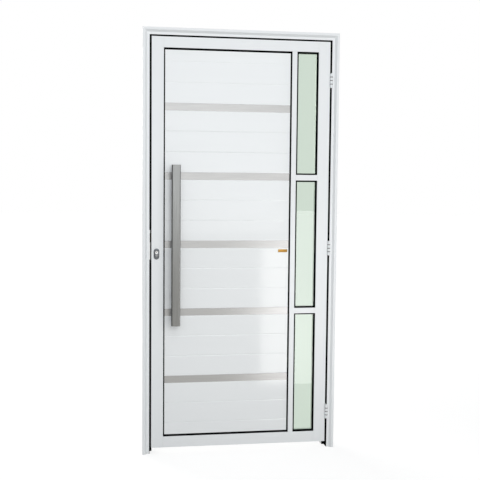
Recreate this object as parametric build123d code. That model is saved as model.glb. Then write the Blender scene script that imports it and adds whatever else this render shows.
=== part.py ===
"""White aluminium entrance door: a rebated frame with clip-on trims, and a hinged leaf.

The leaf has hollow stiles and rails, a panel of tongue-and-groove boards with brushed bands,
a side strip of three glass panes, a long pull bar, a roller lock and three hinges.
Millimetres. +X points from the leaf into the wall on the hinge side, -Y is the side that the
leaf opens to, +Z is up. The origin lies on the hinge jamb's wall face, at floor level.
"""
import os
from math import ceil

from build123d import *

# Leaf
LEAF_WIDTH = 892.0
LEAF_HEIGHT = 2034.0
LEAF_THICKNESS = 40.0
STILE_FACE = 59.0
BOTTOM_RAIL_FACE = 55.0
TOP_RAIL_FACE = 52.5
MULLION_FACE = 25.0
TRANSOM_FACE = 28.0
GLASS_STRIP_WIDTH = 110.0
PROFILE_WALL = 2.0
PROFILE_EDGE_RADIUS = 1.0
LIP_THICKNESS = 3.0
EDGE_COVER = 9.0
COPE_GAP = 0.25

# Running gaps round the leaf
FLOOR_GAP = 30.0
SIDE_GAP = 10.0
TOP_GAP = 8.0
STOP_GAP = 5.0

# Fixed frame
JAMB_FACE = 20.0
JAMB_WALL = 2.0
FRAME_EDGE_RADIUS = 1.0
STOP_OVERLAP = 5.0
STOP_DEPTH = 36.0
STOP_WALL = 1.6
MITRE_GAP = 0.3
TRIM_LIP = 12.0
TRIM_SLOPE = 10.0
TRIM_OUTSTAND = 14.0
TRIM_RISE = 12.0
TRIM_WALL = 1.6
TRIM_EDGE_RADIUS = 1.2
SEAL_THICKNESS = 3.0
LINING_THICKNESS = 2.0
LINING_SETBACK = 1.0
SEAL_EDGE = 1.0
SCREW_RADIUS = 3.25
JAMB_SCREW_COUNT = 4
JAMB_SCREW_INSET = 200.0
HEAD_SCREW_SPACING = 500.0

# Infill: boards, bands, glass and what holds them
INFILL_RECESS = 10.0
INFILL_EDGE_GAP = 2.0
BOARD_THICKNESS = 18.0
BOARD_COVER = 100.9
BAND_COVER = 36.0
BOARDS_BETWEEN_BANDS = 3
BAND_COUNT = 5
TRANSOMS_FROM_MIDDLE_BAND = 1
MIDDLE_BAND_ABOVE_CENTRE = 3.0
UPPER_TRANSOM_DROP = 3.0
VEE_DEPTH = 0.6
VEE_RISE = 3.0
BAND_EASE = 0.4
TONGUE_WIDTH = 6.0
TONGUE_HEIGHT = 8.0
JOINT_GAP = 0.12
GLASS_THICKNESS = 6.0
GASKET_SHOW = 7.0
RAIL_GASKET_SHOW = 9.0
GLASS_GASKET_SHOW = 8.5
BACK_GASKET_SHOW = 7.0
BACK_GASKET_THICKNESS = 3.0
GASKET_EDGE_GAP = 0.5
BEAD_REACH = 8.0
BEAD_BEVEL = 3.0
BEAD_END_GAP = 0.4

# Pull bar
PULL_LENGTH = 790.0
PULL_WIDTH = 44.0
PULL_DEPTH = 22.0
PULL_PROJECTION = 68.0
PULL_FROM_EDGE = 116.0
PULL_MIDDLE_HEIGHT = 1018.0
PULL_EDGE_RADIUS = 7.0
PULL_END_RADIUS = 1.5
POST_RADIUS = 10.0
POST_SPACING = 500.0
CAP_RADIUS = 9.0
CAP_HEIGHT = 5.0

# Lock
LOCK_BACKSET = 25.0
LOCK_HEIGHT = 982.0
ESCUTCHEON_WIDTH = 27.0
ESCUTCHEON_LENGTH = 54.0
ESCUTCHEON_THICKNESS = 6.0
ESCUTCHEON_EDGE_RADIUS = 3.5
ESCUTCHEON_CLEARANCE = 1.0
CYLINDER_RADIUS = 8.5
CYLINDER_FIN_WIDTH = 10.0
CYLINDER_FIN_DROP = 16.0
CYLINDER_PROUD = 2.0
LOCK_CLEARANCE = 0.3
FACEPLATE_LENGTH = 146.0
FACEPLATE_WIDTH = 22.0
FACEPLATE_THICKNESS = 3.0
FACEPLATE_ABOVE_CYLINDER = 37.0
ROLLER_RADIUS = 9.0
ROLLER_LENGTH = 40.0
ROLLER_PROUD = 2.0
ROLLER_ABOVE_CYLINDER = 73.0
STRIKE_LIP_REACH = 3.5
STRIKE_LIP_THICKNESS = 1.5
STRIKE_LIP_SETBACK = 4.0
STRIKE_LIP_NOTCH = 3.0

# Hinges
HINGE_FROM_BOTTOM = 158.0
HINGE_FROM_TOP = 192.0
HINGE_LENGTH = 67.0
KNUCKLE_RADIUS = 7.0
KNUCKLE_COUNT = 4
HINGE_PLATE = 2.5
HINGE_PLATE_DEPTH = 34.0
PIN_RADIUS = 3.4
PIN_CLEARANCE = 0.05
PIN_HEAD_RADIUS = 5.0
PIN_HEAD_HEIGHT = 2.5
WASHER_THICKNESS = 3.0
HINGE_RUN = 0.2
KNUCKLE_FACE_GAP = 1.0

# Places that follow from the sizes above; depths are counted back from the leaf's front face
LEAF_RIGHT = -(JAMB_FACE + SIDE_GAP)
LEAF_LEFT = LEAF_RIGHT - LEAF_WIDTH
LEAF_BOTTOM = FLOOR_GAP
LEAF_TOP = LEAF_BOTTOM + LEAF_HEIGHT
FRAME_LEFT = LEAF_LEFT - SIDE_GAP - JAMB_FACE
FRAME_TOP = LEAF_TOP + TOP_GAP + JAMB_FACE
STOP_FRONT = LEAF_THICKNESS + STOP_GAP + SEAL_THICKNESS
FRAME_DEPTH = STOP_FRONT + STOP_DEPTH
STOP_REACH = JAMB_FACE + SIDE_GAP + STOP_OVERLAP
FRONT_Y = -FRAME_DEPTH / 2
PANEL_BACK = INFILL_RECESS + BOARD_THICKNESS
GLASS_BACK = INFILL_RECESS + GLASS_THICKNESS
HINGE_X = -(JAMB_FACE + SIDE_GAP / 2)
HINGE_Y = -(KNUCKLE_RADIUS + KNUCKLE_FACE_GAP)
LOWEST_HINGE = LEAF_BOTTOM + HINGE_FROM_BOTTOM
HIGHEST_HINGE = LEAF_TOP - HINGE_FROM_TOP
HINGE_HEIGHTS = {"bottom": LOWEST_HINGE, "middle": (LOWEST_HINGE + HIGHEST_HINGE) / 2, "top": HIGHEST_HINGE}
CYLINDER_HEIGHT = LEAF_BOTTOM + LOCK_HEIGHT
FACEPLATE_MIDDLE = CYLINDER_HEIGHT + FACEPLATE_ABOVE_CYLINDER
ROLLER_MIDDLE = CYLINDER_HEIGHT + ROLLER_ABOVE_CYLINDER
FIELD_HEIGHT = BOARDS_BETWEEN_BANDS * BOARD_COVER
BAND_PITCH = FIELD_HEIGHT + BAND_COVER
MIDDLE_BAND = (LEAF_BOTTOM + LEAF_TOP) / 2 + MIDDLE_BAND_ABOVE_CENTRE

# Daylight openings of the leaf, as left, right, bottom and top
GLASS_RIGHT = LEAF_RIGHT - STILE_FACE
GLASS_LEFT = GLASS_RIGHT - GLASS_STRIP_WIDTH
PANEL_RIGHT = GLASS_LEFT - MULLION_FACE
PANEL_LEFT = LEAF_LEFT + STILE_FACE
INFILL_BOTTOM = LEAF_BOTTOM + BOTTOM_RAIL_FACE
INFILL_TOP = LEAF_TOP - TOP_RAIL_FACE
PANEL_OPENING = (PANEL_LEFT, PANEL_RIGHT, INFILL_BOTTOM, INFILL_TOP)
LOWER_TRANSOM = MIDDLE_BAND - TRANSOMS_FROM_MIDDLE_BAND * BAND_PITCH
UPPER_TRANSOM = MIDDLE_BAND + TRANSOMS_FROM_MIDDLE_BAND * BAND_PITCH - UPPER_TRANSOM_DROP
PANE_OPENINGS = {
    "bottom": (GLASS_LEFT, GLASS_RIGHT, INFILL_BOTTOM, LOWER_TRANSOM - TRANSOM_FACE / 2),
    "middle": (GLASS_LEFT, GLASS_RIGHT, LOWER_TRANSOM + TRANSOM_FACE / 2, UPPER_TRANSOM - TRANSOM_FACE / 2),
    "top": (GLASS_LEFT, GLASS_RIGHT, UPPER_TRANSOM + TRANSOM_FACE / 2, INFILL_TOP),
}
PANE_END_SHOWS = {
    "bottom": (RAIL_GASKET_SHOW, GASKET_SHOW),
    "middle": (GASKET_SHOW, GASKET_SHOW),
    "top": (GASKET_SHOW, RAIL_GASKET_SHOW),
}


def block(left, right, front, back, bottom, top):
    """Straight block between two corners."""
    middle = ((left + right) / 2, (front + back) / 2, (bottom + top) / 2)
    return Pos(*middle) * Box(right - left, back - front, top - bottom)


def outline(*points):
    """Flat face inside a closed run of straight edges."""
    return make_face(Polyline(*points, close=True))


def eased(section, radius, *corners):
    """Section with a small radius on the corners that show."""
    return fillet([section.vertices().sort_by_distance(corner)[0] for corner in corners], radius)


def upright(section, left, bottom, top):
    """Section of width and depth, drawn from a left edge and extruded upwards."""
    return extrude(Plane((left, 0, bottom), x_dir=(1, 0, 0), z_dir=(0, 0, 1)) * section, top - bottom)


def level(section, left, right, base):
    """Section of height and depth, drawn from a base height and extruded to the right."""
    return extrude(Plane((left, 0, base), x_dir=(0, 0, 1), z_dir=(-1, 0, 0)) * section, left - right)


def grown(opening, grow):
    """Opening grown on all four sides."""
    left, right, bottom, top = opening
    return left - grow, right + grow, bottom - grow, top + grow


def slab(opening, front, back):
    """Upright slab that fills an opening between two depths."""
    left, right, bottom, top = opening
    return block(left, right, front, back, bottom, top)


# Fixed frame


def jamb_section():
    """Hollow box of a jamb or the head, drawn from the wall face inwards."""
    box = Rectangle(JAMB_FACE, FRAME_DEPTH, align=Align.MIN)
    hollow = offset(box, -JAMB_WALL, kind=Kind.INTERSECTION)
    return eased(box, FRAME_EDGE_RADIUS, (JAMB_FACE, 0), (JAMB_FACE, FRAME_DEPTH)) - hollow


def stop_section():
    """Clip-on stop on the inner face of a jamb: a channel, open towards the jamb."""
    reach = SIDE_GAP + STOP_OVERLAP
    channel = Pos(JAMB_FACE, STOP_FRONT) * Rectangle(reach, STOP_DEPTH, align=Align.MIN)
    channel = eased(channel, FRAME_EDGE_RADIUS, (STOP_REACH, STOP_FRONT), (STOP_REACH, FRAME_DEPTH))
    inside = Rectangle(reach - STOP_WALL, STOP_DEPTH - 2 * STOP_WALL, align=Align.MIN)
    return channel - Pos(JAMB_FACE, STOP_FRONT + STOP_WALL) * inside


def trim_section():
    """Hollow trim with a sloped inner side, a flat lip and a foot on the jamb's face."""
    slope_foot = TRIM_LIP + TRIM_SLOPE - TRIM_OUTSTAND
    slope_head = TRIM_LIP - TRIM_OUTSTAND
    shell = outline(
        (slope_foot, 0),
        (slope_head, -TRIM_RISE),
        (-TRIM_OUTSTAND, -TRIM_RISE),
        (-TRIM_OUTSTAND, 0),
    )
    hollow = offset(shell, -TRIM_WALL, kind=Kind.INTERSECTION)
    slot_width = TRIM_OUTSTAND - TRIM_WALL
    open_back = Pos(-slot_width, -TRIM_WALL) * Rectangle(slot_width, TRIM_WALL, align=Align.MIN)
    shell = eased(shell, TRIM_EDGE_RADIUS, (slope_head, -TRIM_RISE), (-TRIM_OUTSTAND, -TRIM_RISE))
    return shell - hollow - open_back


def seal_section():
    """Rubber lining of the rebate, turned along the face of the stop."""
    return outline(
        (JAMB_FACE, LINING_SETBACK),
        (JAMB_FACE + LINING_THICKNESS, LINING_SETBACK),
        (JAMB_FACE + LINING_THICKNESS, STOP_FRONT - SEAL_THICKNESS),
        (STOP_REACH - SEAL_EDGE, STOP_FRONT - SEAL_THICKNESS),
        (STOP_REACH - SEAL_EDGE, STOP_FRONT),
        (JAMB_FACE, STOP_FRONT),
    )


def mitred_members(section, gap=0.0):
    """The lock jamb, hinge jamb and head of one section, mitred at the upper corners."""
    reach = FRAME_TOP + TRIM_OUTSTAND
    left_mitre = Plane((FRAME_LEFT, 0, FRAME_TOP), z_dir=(1, 0, 1))
    right_mitre = Plane((0, 0, FRAME_TOP), z_dir=(-1, 0, 1))
    middle = Plane((FRAME_LEFT / 2, 0, 0), z_dir=(1, 0, 0))
    lock_side = split(upright(section, FRAME_LEFT, 0, reach), left_mitre.offset(-gap / 2), keep=Keep.BOTTOM)
    hinge_side = mirror(lock_side, about=middle)
    head_plane = Plane((FRAME_LEFT - TRIM_OUTSTAND, 0, FRAME_TOP), x_dir=(0, 0, -1), z_dir=(1, 0, 0))
    head = extrude(head_plane * section, 2 * TRIM_OUTSTAND - FRAME_LEFT)
    head = split(head, left_mitre.offset(gap / 2), keep=Keep.TOP)
    head = split(head, right_mitre.offset(gap / 2), keep=Keep.TOP)
    return lock_side, hinge_side, head


def screw_drill(place, direction):
    """Drill for one fixing screw, through a frame member and its stop."""
    return extrude(Plane(place, z_dir=direction) * Circle(SCREW_RADIUS), STOP_REACH)


def screw_drills():
    """Drills of the lock jamb, the hinge jamb and the head, in that order."""
    depth = STOP_FRONT + STOP_DEPTH / 2
    pitch = (FRAME_TOP - 2 * JAMB_SCREW_INSET) / (JAMB_SCREW_COUNT - 1)
    heights = [JAMB_SCREW_INSET + number * pitch for number in range(JAMB_SCREW_COUNT)]
    lock_side = [screw_drill((FRAME_LEFT, depth, height), (1, 0, 0)) for height in heights]
    hinge_side = [screw_drill((0, depth, height), (-1, 0, 0)) for height in heights]
    spread = (FRAME_LEFT - HEAD_SCREW_SPACING) / 2, (FRAME_LEFT + HEAD_SCREW_SPACING) / 2
    head = [screw_drill((across, depth, FRAME_TOP), (0, 0, -1)) for across in spread]
    return lock_side, hinge_side, head


def frame_members():
    """Two jambs and a head with their clip-on stops, drilled for the wall screws."""
    drills = screw_drills()
    boxes = [box - cuts for box, cuts in zip(mitred_members(jamb_section()), drills)]
    stops = [stop - cuts for stop, cuts in zip(mitred_members(stop_section(), MITRE_GAP), drills)]
    lock_jamb, hinge_jamb, head = boxes
    lock_jamb -= roller_window(FRAME_LEFT + JAMB_FACE - JAMB_WALL, FRAME_LEFT + JAMB_FACE)
    return {"lock_jamb": lock_jamb, "hinge_jamb": hinge_jamb, "frame_head": head, "frame_stops": Compound(stops)}


def frame_trims():
    """Clip-on trims that cover the joint with the wall."""
    lock_trim, hinge_trim, head_trim = mitred_members(trim_section())
    return {"lock_side_trim": lock_trim, "hinge_side_trim": hinge_trim, "head_trim": head_trim}


def frame_seals():
    """Rubber linings of the three rebates, notched round the hinges and the strike plate."""
    lock_seal, hinge_seal, head_seal = mitred_members(seal_section(), MITRE_GAP)
    notch_back = HINGE_PLATE_DEPTH + LOCK_CLEARANCE
    notch_right = -JAMB_FACE
    notch_left = notch_right - LINING_THICKNESS
    half = HINGE_LENGTH / 2 + LOCK_CLEARANCE
    for middle in HINGE_HEIGHTS.values():
        hinge_seal -= block(notch_left, notch_right, 0, notch_back, middle - half, middle + half)
    lock_seal -= strike_base(0, LOCK_CLEARANCE)
    return Compound([lock_seal, hinge_seal, head_seal])


# Lock


def edge_block(left, right, half_width, middle, half_length):
    """Upright block centred in the leaf's thickness."""
    centre = LEAF_THICKNESS / 2
    return block(left, right, centre - half_width, centre + half_width, middle - half_length, middle + half_length)


def edge_plate(left, right, grow=0.0):
    """Plate the size of the lock's faceplate, upright on an edge of the leaf or jamb."""
    half_length = FACEPLATE_LENGTH / 2 + grow
    half_width = FACEPLATE_WIDTH / 2 + grow
    return edge_block(left, right, half_width, FACEPLATE_MIDDLE, half_length)


def roller_window(left, right):
    """Opening that the latch roller passes through."""
    half_width = ROLLER_RADIUS + LOCK_CLEARANCE
    half_length = ROLLER_LENGTH / 2 + LOCK_CLEARANCE
    return edge_block(left, right, half_width, ROLLER_MIDDLE, half_length)


def cylinder_bar(front, back, grow=0.0):
    """Profile cylinder between two depths: a round barrel with a fin below it."""
    fin_radius = CYLINDER_FIN_WIDTH / 2 + grow
    profile = Circle(CYLINDER_RADIUS + grow)
    profile += Pos(0, -CYLINDER_FIN_DROP / 2) * Rectangle(2 * fin_radius, CYLINDER_FIN_DROP)
    profile += Pos(0, -CYLINDER_FIN_DROP) * Circle(fin_radius)
    return extrude(lock_plane(front) * profile, front - back)


def lock_plane(depth):
    """Upright plane at a depth, centred on the lock cylinder and facing the viewer."""
    centre = (LEAF_LEFT + LOCK_BACKSET, depth, CYLINDER_HEIGHT)
    return Plane(centre, x_dir=(1, 0, 0), z_dir=(0, -1, 0))


def escutcheon(depth, outward):
    """Rounded oval plate on one face of the lock stile, with its outer edge rounded."""
    oval = Rot(0, 0, 90) * SlotOverall(ESCUTCHEON_LENGTH, ESCUTCHEON_WIDTH)
    oval = Pos(0, -CYLINDER_FIN_DROP / 2) * oval
    plate = extrude(lock_plane(depth) * oval, ESCUTCHEON_THICKNESS * outward)
    rim = plate.faces().sort_by(Axis.Y)[0 if outward > 0 else -1]
    plate = fillet(rim.edges(), ESCUTCHEON_EDGE_RADIUS)
    reach = 2 * LEAF_THICKNESS
    return plate - cylinder_bar(-reach, reach, ESCUTCHEON_CLEARANCE)


def lock_parts():
    """Escutcheons, cylinder, faceplate and roller on the leaf."""
    front = -ESCUTCHEON_THICKNESS - CYLINDER_PROUD
    back = LEAF_THICKNESS + ESCUTCHEON_THICKNESS + CYLINDER_PROUD
    faceplate = edge_plate(LEAF_LEFT, LEAF_LEFT + FACEPLATE_THICKNESS)
    faceplate -= roller_window(LEAF_LEFT, LEAF_LEFT + FACEPLATE_THICKNESS)
    roller_at = (LEAF_LEFT + ROLLER_RADIUS - ROLLER_PROUD, LEAF_THICKNESS / 2, ROLLER_MIDDLE)
    return {
        "lock_escutcheons": Compound([escutcheon(0, 1), escutcheon(LEAF_THICKNESS, -1)]),
        "lock_cylinder": cylinder_bar(front, back),
        "lock_faceplate": faceplate,
        "latch_roller": Pos(*roller_at) * Cylinder(ROLLER_RADIUS, ROLLER_LENGTH),
    }


def strike_base(front, grow=0.0):
    """Flat of the strike plate on the lock jamb, from a depth back to the end of the lock's faceplate."""
    left = FRAME_LEFT + JAMB_FACE
    back = (LEAF_THICKNESS + FACEPLATE_WIDTH) / 2 + grow
    half_length = FACEPLATE_LENGTH / 2 + grow
    bottom = FACEPLATE_MIDDLE - half_length
    top = FACEPLATE_MIDDLE + half_length
    return block(left, left + LINING_THICKNESS, front, back, bottom, top)


def strike_plate():
    """Plate that the roller runs into, with a lip along its front edge, notched at the roller."""
    left = FRAME_LEFT + JAMB_FACE
    right = left + LINING_THICKNESS
    lip_edge = left + STRIKE_LIP_REACH
    front = STRIKE_LIP_SETBACK
    back = front + STRIKE_LIP_THICKNESS
    half_length = FACEPLATE_LENGTH / 2
    half_notch = ROLLER_LENGTH / 2 + STRIKE_LIP_NOTCH
    lip = block(left, lip_edge, front, back, FACEPLATE_MIDDLE - half_length, FACEPLATE_MIDDLE + half_length)
    lip -= block(right, lip_edge, front, back, ROLLER_MIDDLE - half_notch, ROLLER_MIDDLE + half_notch)
    return strike_base(front) + lip - roller_window(left, right)


# Leaf frame


def edge_section(face):
    """Hollow stile or rail with a front lip over the infill, drawn from its outer edge."""
    tube = face - EDGE_COVER
    solid = outline(
        (0, 0),
        (face, 0),
        (face, LIP_THICKNESS),
        (tube, LIP_THICKNESS),
        (tube, LEAF_THICKNESS),
        (0, LEAF_THICKNESS),
    )
    shown = (0, 0), (face, 0), (tube, LEAF_THICKNESS), (0, LEAF_THICKNESS)
    return eased(solid, PROFILE_EDGE_RADIUS, *shown) - chamber(0, tube)


def bar_section(face):
    """Hollow mullion or transom with a front lip on both sides, drawn from its left lip."""
    left = EDGE_COVER
    right = face - EDGE_COVER
    solid = outline(
        (0, 0),
        (face, 0),
        (face, LIP_THICKNESS),
        (right, LIP_THICKNESS),
        (right, LEAF_THICKNESS),
        (left, LEAF_THICKNESS),
        (left, LIP_THICKNESS),
        (0, LIP_THICKNESS),
    )
    return eased(solid, PROFILE_EDGE_RADIUS, (0, 0), (face, 0)) - chamber(left, right)


def chamber(left, right):
    """Hollow inside a tube of the leaf frame."""
    width = right - left - 2 * PROFILE_WALL
    depth = LEAF_THICKNESS - 2 * PROFILE_WALL
    return Pos((left + right) / 2, LEAF_THICKNESS / 2) * Rectangle(width, depth)


def stiles():
    """Two full-height stiles, the lock stile cut for its lock."""
    section = edge_section(STILE_FACE)
    lock_stile = upright(section, LEAF_LEFT, LEAF_BOTTOM, LEAF_TOP)
    middle = Plane(((LEAF_LEFT + LEAF_RIGHT) / 2, 0, 0), z_dir=(1, 0, 0))
    hinge_stile = mirror(lock_stile, about=middle)
    lock_stile -= cylinder_bar(0, LEAF_THICKNESS, LOCK_CLEARANCE)
    lock_stile -= edge_plate(LEAF_LEFT, LEAF_LEFT + PROFILE_WALL, LOCK_CLEARANCE)
    return {"lock_stile": lock_stile, "hinge_stile": hinge_stile}


def rails():
    """Top and bottom rails, coped under the lips of the stiles."""
    left = PANEL_LEFT - EDGE_COVER
    right = GLASS_RIGHT + EDGE_COVER
    bottom_section = edge_section(BOTTOM_RAIL_FACE)
    top_section = Pos(TOP_RAIL_FACE, 0) * mirror(edge_section(TOP_RAIL_FACE), about=Plane.YZ)
    made = {
        "bottom_rail": level(bottom_section, left, right, LEAF_BOTTOM),
        "top_rail": level(top_section, left, right, INFILL_TOP),
    }
    for name in made:
        made[name] -= block(left, PANEL_LEFT + COPE_GAP, 0, LIP_THICKNESS, LEAF_BOTTOM, LEAF_TOP)
        made[name] -= block(GLASS_RIGHT - COPE_GAP, right, 0, LIP_THICKNESS, LEAF_BOTTOM, LEAF_TOP)
    return made


def mullion():
    """Upright bar between the panel and the glass, coped under the lips of the rails."""
    bottom = INFILL_BOTTOM - EDGE_COVER
    top = INFILL_TOP + EDGE_COVER
    bar = upright(bar_section(MULLION_FACE), PANEL_RIGHT, bottom, top)
    bar -= block(PANEL_RIGHT, GLASS_LEFT, 0, LIP_THICKNESS, bottom, INFILL_BOTTOM + COPE_GAP)
    bar -= block(PANEL_RIGHT, GLASS_LEFT, 0, LIP_THICKNESS, INFILL_TOP - COPE_GAP, top)
    return bar


def transoms():
    """Two short bars across the glass strip, coped under the lips beside them."""
    left = GLASS_LEFT - EDGE_COVER
    right = GLASS_RIGHT + EDGE_COVER
    bars = []
    for middle in (LOWER_TRANSOM, UPPER_TRANSOM):
        bottom = middle - TRANSOM_FACE / 2
        top = middle + TRANSOM_FACE / 2
        bar = level(bar_section(TRANSOM_FACE), left, right, bottom)
        bar -= block(left, GLASS_LEFT + COPE_GAP, 0, LIP_THICKNESS, bottom, top)
        bar -= block(GLASS_RIGHT - COPE_GAP, right, 0, LIP_THICKNESS, bottom, top)
        bars.append(bar)
    return Compound(bars)


# Infill


def board_section(cover, rise, depth):
    """Tongue-and-groove board: edges bevelled by a rise and a depth on both faces, tongue on top, groove below."""
    top = cover - JOINT_GAP
    tongue_front = (BOARD_THICKNESS - TONGUE_WIDTH) / 2
    tongue_back = (BOARD_THICKNESS + TONGUE_WIDTH) / 2
    groove_front = tongue_front - JOINT_GAP
    groove_back = tongue_back + JOINT_GAP
    groove_top = TONGUE_HEIGHT + JOINT_GAP
    return outline(
        (rise, 0),
        (0, depth),
        (0, groove_front),
        (groove_top, groove_front),
        (groove_top, groove_back),
        (0, groove_back),
        (0, BOARD_THICKNESS - depth),
        (rise, BOARD_THICKNESS),
        (top - rise, BOARD_THICKNESS),
        (top, BOARD_THICKNESS - depth),
        (top, tongue_back),
        (top + TONGUE_HEIGHT, tongue_back),
        (top + TONGUE_HEIGHT, tongue_front),
        (top, tongue_front),
        (top, depth),
        (top - rise, 0),
    )


def across_panel(section, base):
    """Board or band of one section across the panel, trimmed to the pocket of the leaf frame."""
    pocket = grown(PANEL_OPENING, EDGE_COVER - INFILL_EDGE_GAP)
    left, right = pocket[:2]
    bar = level(Pos(0, INFILL_RECESS) * section, left, right, base)
    return bar & slab(pocket, INFILL_RECESS, PANEL_BACK)


def boards_from(base, count):
    """Boards laid one on another from a base height."""
    section = board_section(BOARD_COVER, VEE_RISE, VEE_DEPTH)
    return Compound([across_panel(section, base + row * BOARD_COVER) for row in range(count)])


def panel_parts():
    """Bands at an even pitch, fields of boards between them, and cut fields at both ends."""
    pocket_bottom, pocket_top = grown(PANEL_OPENING, EDGE_COVER - INFILL_EDGE_GAP)[2:]
    lowest = MIDDLE_BAND - (BAND_COUNT - 1) / 2 * BAND_PITCH - BAND_COVER / 2
    rows_below = ceil((lowest - pocket_bottom) / BOARD_COVER)
    band = board_section(BAND_COVER, BAND_EASE, BAND_EASE)
    made = {"boards_1": boards_from(lowest - rows_below * BOARD_COVER, rows_below)}
    for number in range(1, BAND_COUNT + 1):
        base = lowest + (number - 1) * BAND_PITCH
        field_base = base + BAND_COVER
        rows = BOARDS_BETWEEN_BANDS
        if number == BAND_COUNT:
            rows = ceil((pocket_top - field_base) / BOARD_COVER)
        made[f"band_{number}"] = across_panel(band, base)
        made[f"boards_{number + 1}"] = boards_from(field_base, rows)
    return made


def upright_face(opening, depth):
    """Rectangle that fills an opening at one depth."""
    left, right, bottom, top = opening
    centre = ((left + right) / 2, depth, (bottom + top) / 2)
    return Plane(centre, x_dir=(1, 0, 0), z_dir=(0, -1, 0)) * Rectangle(right - left, top - bottom)


def front_gasket(opening, side_show, low_show, high_show):
    """Wedge gasket between the lips and the infill, sloping in to its visible edge."""
    left, right, bottom, top = opening
    ring = slab(grown(opening, EDGE_COVER - GASKET_EDGE_GAP), LIP_THICKNESS, INFILL_RECESS)
    daylight = (left + side_show, right - side_show, bottom + low_show, top - high_show)
    return ring - loft([upright_face(opening, LIP_THICKNESS), upright_face(daylight, INFILL_RECESS)])


def back_gasket(opening, infill_back):
    """Flat gasket between the infill and the beads."""
    front = infill_back
    back = infill_back + BACK_GASKET_THICKNESS
    ring = slab(grown(opening, EDGE_COVER - GASKET_EDGE_GAP), front, back)
    return ring - slab(grown(opening, -BACK_GASKET_SHOW), front, back)


def beads(opening, infill_back):
    """Four glazing beads that press the infill forward, reaching into the opening and bevelled there."""
    front = infill_back + BACK_GASKET_THICKNESS
    width = EDGE_COVER + BEAD_REACH
    section = outline(
        (0, front),
        (width, front),
        (width, LEAF_THICKNESS - BEAD_BEVEL),
        (width - BEAD_BEVEL, LEAF_THICKNESS),
        (0, LEAF_THICKNESS),
    )
    left, right, bottom, top = opening
    outer_bottom = bottom - EDGE_COVER
    outer_top = top + EDGE_COVER
    left_bead = upright(section, left - EDGE_COVER, outer_bottom, outer_top)
    middle = Plane(((left + right) / 2, 0, 0), z_dir=(1, 0, 0))
    right_bead = mirror(left_bead, about=middle)
    end = BEAD_REACH + BEAD_END_GAP
    low_bead = level(section, left + end, right - end, outer_bottom)
    centre = Plane((0, 0, (bottom + top) / 2), z_dir=(0, 0, 1))
    high_bead = mirror(low_bead, about=centre)
    return [left_bead, right_bead, low_bead, high_bead]


def glazing_parts():
    """Panes, and the gaskets and beads of the panel and of the three glass openings."""
    made = {}
    panel_front = front_gasket(PANEL_OPENING, GASKET_SHOW, RAIL_GASKET_SHOW, RAIL_GASKET_SHOW)
    gaskets = [panel_front, back_gasket(PANEL_OPENING, PANEL_BACK)]
    strips = beads(PANEL_OPENING, PANEL_BACK)
    for name, opening in PANE_OPENINGS.items():
        made[f"glass_pane_{name}"] = slab(grown(opening, EDGE_COVER - INFILL_EDGE_GAP), INFILL_RECESS, GLASS_BACK)
        pane_front = front_gasket(opening, GLASS_GASKET_SHOW, *PANE_END_SHOWS[name])
        gaskets += [pane_front, back_gasket(opening, GLASS_BACK)]
        strips += beads(opening, GLASS_BACK)
    made["infill_gaskets"] = Compound(gaskets)
    made["glazing_beads"] = Compound(strips)
    return made


# Pull bar


def pull_parts():
    """Long flat bar with rounded edges, its two posts and the bolt caps on the inner side."""
    across = LEAF_LEFT + PULL_FROM_EDGE
    middle = LEAF_BOTTOM + PULL_MIDDLE_HEIGHT
    bar_back = PULL_DEPTH - PULL_PROJECTION
    bar = Box(PULL_WIDTH, PULL_DEPTH, PULL_LENGTH)
    bar = fillet(bar.edges().filter_by(Axis.Z), PULL_EDGE_RADIUS)
    ends = bar.faces().filter_by(Axis.Z)
    bar = fillet(ends.edges(), PULL_END_RADIUS)
    bar = Pos(across, bar_back - PULL_DEPTH / 2, middle) * bar
    posts = []
    caps = []
    for side in (-0.5, 0.5):
        height = middle + side * POST_SPACING
        post_plane = Plane((across, INFILL_RECESS, height), x_dir=(1, 0, 0), z_dir=(0, -1, 0))
        posts.append(extrude(post_plane * Circle(POST_RADIUS), INFILL_RECESS - bar_back))
        cap_plane = Plane((across, PANEL_BACK, height), x_dir=(1, 0, 0), z_dir=(0, 1, 0))
        cap = extrude(cap_plane * Circle(CAP_RADIUS), CAP_HEIGHT)
        caps.append(fillet(cap.faces().sort_by(Axis.Y)[-1].edges(), CAP_HEIGHT / 2))
    return {"pull_bar": bar, "pull_bar_posts": Compound(posts), "pull_bar_caps": Compound(caps)}


# Hinges


def knuckle_height():
    """Height of one knuckle, between washers with running gaps."""
    joints = (KNUCKLE_COUNT - 1) * (WASHER_THICKNESS + 2 * HINGE_RUN)
    return (HINGE_LENGTH - joints) / KNUCKLE_COUNT


def hinge_tube(radius, bottom, height):
    """Round length of a hinge about its pin."""
    return Pos(HINGE_X, HINGE_Y, bottom + height / 2) * Cylinder(radius, height)


def hinge_leaf(bottom, first_knuckle, plate_left, plate_right):
    """Hinge plate with every second knuckle, bored for the pin."""
    height = knuckle_height()
    pitch = height + WASHER_THICKNESS + 2 * HINGE_RUN
    leaf = block(plate_left, plate_right, 0, HINGE_PLATE_DEPTH, bottom, bottom + HINGE_LENGTH)
    for number in range(first_knuckle, KNUCKLE_COUNT, 2):
        base = bottom + number * pitch
        leaf += block(plate_left, plate_right, HINGE_Y, 0, base, base + height)
        leaf += hinge_tube(KNUCKLE_RADIUS, base, height)
    return leaf - hinge_tube(PIN_RADIUS + PIN_CLEARANCE, bottom, HINGE_LENGTH)


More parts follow.
